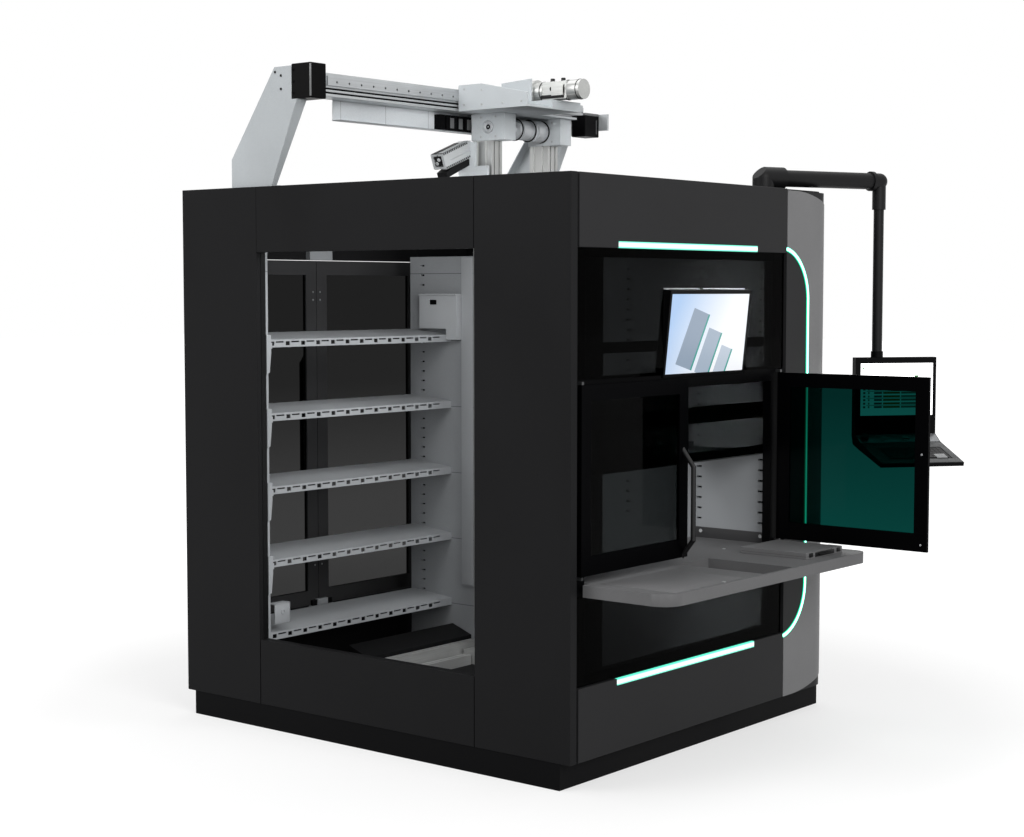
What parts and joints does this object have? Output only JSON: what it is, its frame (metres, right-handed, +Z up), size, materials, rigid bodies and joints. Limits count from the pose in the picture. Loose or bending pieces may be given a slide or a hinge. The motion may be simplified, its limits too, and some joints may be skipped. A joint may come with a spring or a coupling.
{
  "type": "vertical lift module",
  "caption": "Enclosed storage machine with racks, an overhead gantry lift, a glazed side window, an access hatch with a worktop, and an operator panel on a swivel arm.",
  "frame": {"origin": "centre of the cabinet's footprint, on the floor under the plinth", "axes": "+Z up, -Y out of the operator's front, +X to the operator's right"},
  "size_m": [2.6533, 3.13, 3.053],
  "materials": {
    "black_frame": "satin black powder coat",
    "dark_panel": "fine-textured dark grey powder coat",
    "shield_grey": "satin mid grey coat",
    "light": "lit diffuser",
    "smoked_glass": "smoked glass",
    "tinted_glass": "tinted glass",
    "leaf_black": "gloss black border",
    "door_grey": "satin dark grey",
    "handle_black": "satin black",
    "hinge_steel": "brushed",
    "rack_grey": "light grey powder coat",
    "worktop_grey": "mid grey coat",
    "black_plastic": "matte black",
    "screen": "lit screen",
    "gantry_grey": "pale grey coat",
    "profile": "anodised",
    "steel": "ground",
    "arm_black": "satin dark coat",
    "control": "satin",
    "stop": "gloss"
  },
  "bodies": {
    "cabinet": {"plinth": "black_frame", "floor_pan": "black_frame", "inner_frame": "black_frame", "roof_panel": "dark_panel", "left_front_panel": "dark_panel", "left_rear_panel": "dark_panel", "left_cross_panels": "dark_panel", "window_liner": "black_frame", "right_side_panels": "dark_panel", "rear_surround": "dark_panel", "door_hinges": "hinge_steel", "door_switches": "hinge_steel", "front_frame": "black_frame", "front_panels": "dark_panel", "light_strips": "light", "corner_cover": "dark_panel", "corner_shield": "shield_grey", "corner_light": "light", "fixed_glass": "smoked_glass", "display_housing": "black_plastic", "display_screen": "screen", "worktop": "worktop_grey", "parts_case": "worktop_grey", "rack_walls": "rack_grey", "front_shelves": "rack_grey", "rear_shelves": "rack_grey", "lock_box": "rack_grey", "floor_ramp": "black_plastic", "floor_rails": "profile", "gantry_pillars": "gantry_grey", "gantry_beam": "profile", "gantry_end_covers": "black_plastic", "guide_rail": "steel", "cable_tray": "gantry_grey", "energy_chain": "black_plastic", "arm_base": "arm_black"},
    "rear_left": {"rear_door_left": "door_grey", "rear_pane_left": "smoked_glass", "rear_handle": "handle_black"},
    "rear_right": {"rear_door_right": "door_grey", "rear_pane_right": "smoked_glass"},
    "hatch_left": {"hatch_left_frame": "leaf_black", "hatch_left_pane": "smoked_glass", "hatch_handle": "handle_black"},
    "hatch_right": {"hatch_right_frame": "leaf_black", "hatch_right_pane": "tinted_glass"},
    "carriage": {"gantry_carriage": "gantry_grey", "gantry_motor": "steel", "lift_columns": "profile", "lift_heads": "gantry_grey"},
    "shaft": {"lift_shaft": "steel"},
    "lift": {"lift_carriage": "gantry_grey", "lift_arm": "profile"},
    "arm": {"arm_tube": "arm_black"},
    "console": {"console_housing": "black_plastic", "console_screen": "screen", "keyboard": "black_plastic"},
    "stop_button": {"emergency_stop": "stop"},
    "button_left": {"control_button_left": "control"},
    "button_right": {"control_button_right": "control"}
  },
  "joints": [
    {"name": "hatch_left_hinge", "type": "hinge", "parent": "cabinet", "child": "hatch_left", "pos_m": [-0.976, -1.15, 1.26], "axis": [0, 0, 1], "range_deg": [-100, 0]},
    {"name": "hatch_right_hinge", "type": "hinge", "parent": "cabinet", "child": "hatch_right", "pos_m": [0.557, -1.15, 1.26], "axis": [0, 0, 1], "range_deg": [-90, 0]},
    {"name": "rear_left_hinge", "type": "hinge", "parent": "cabinet", "child": "rear_left", "pos_m": [-0.959, 1.148, 1.3], "axis": [0, 0, 1], "range_deg": [0, 110]},
    {"name": "rear_right_hinge", "type": "hinge", "parent": "cabinet", "child": "rear_right", "pos_m": [0.569, 1.148, 1.3], "axis": [0, 0, 1], "range_deg": [-110, 0]},
    {"name": "carriage_slide", "type": "slide", "parent": "cabinet", "child": "carriage", "axis": [1, 0, 0], "range_m": [-0.55, 0.12]},
    {"name": "lift_slide", "type": "slide", "parent": "carriage", "child": "lift", "axis": [0, 0, 1], "range_m": [-1.85, 0]},
    {"name": "shaft_spin", "type": "hinge", "parent": "carriage", "child": "shaft", "pos_m": [0.375, 0.272, 2.831], "axis": [1, 0, 0], "continuous": true},
    {"name": "arm_swivel", "type": "hinge", "parent": "cabinet", "child": "arm", "pos_m": [0.715, -0.955, 2.52], "axis": [0, 0, 1], "range_deg": [-25, 45]},
    {"name": "console_swivel", "type": "hinge", "parent": "arm", "child": "console", "pos_m": [1.34169, -1.23402, 1.7], "axis": [0, 0, 1], "range_deg": [-30, 30]},
    {"name": "stop_push", "type": "slide", "parent": "console", "child": "stop_button", "axis": [-0.3168, -0.4054, 0.8575], "range_m": [-0.005, 0]},
    {"name": "button_left_push", "type": "slide", "parent": "console", "child": "button_left", "axis": [-0.3168, -0.4054, 0.8575], "range_m": [-0.003, 0], "stiffness_N_per_m": 600, "springref_m": 0.002},
    {"name": "button_right_push", "type": "slide", "parent": "console", "child": "button_right", "axis": [-0.3168, -0.4054, 0.8575], "range_m": [-0.003, 0], "stiffness_N_per_m": 600, "springref_m": 0.002}
  ],
  "couplings": [
    {"joint": "shaft_spin", "follows": "lift_slide", "rad_per_m": 25}
  ]
}
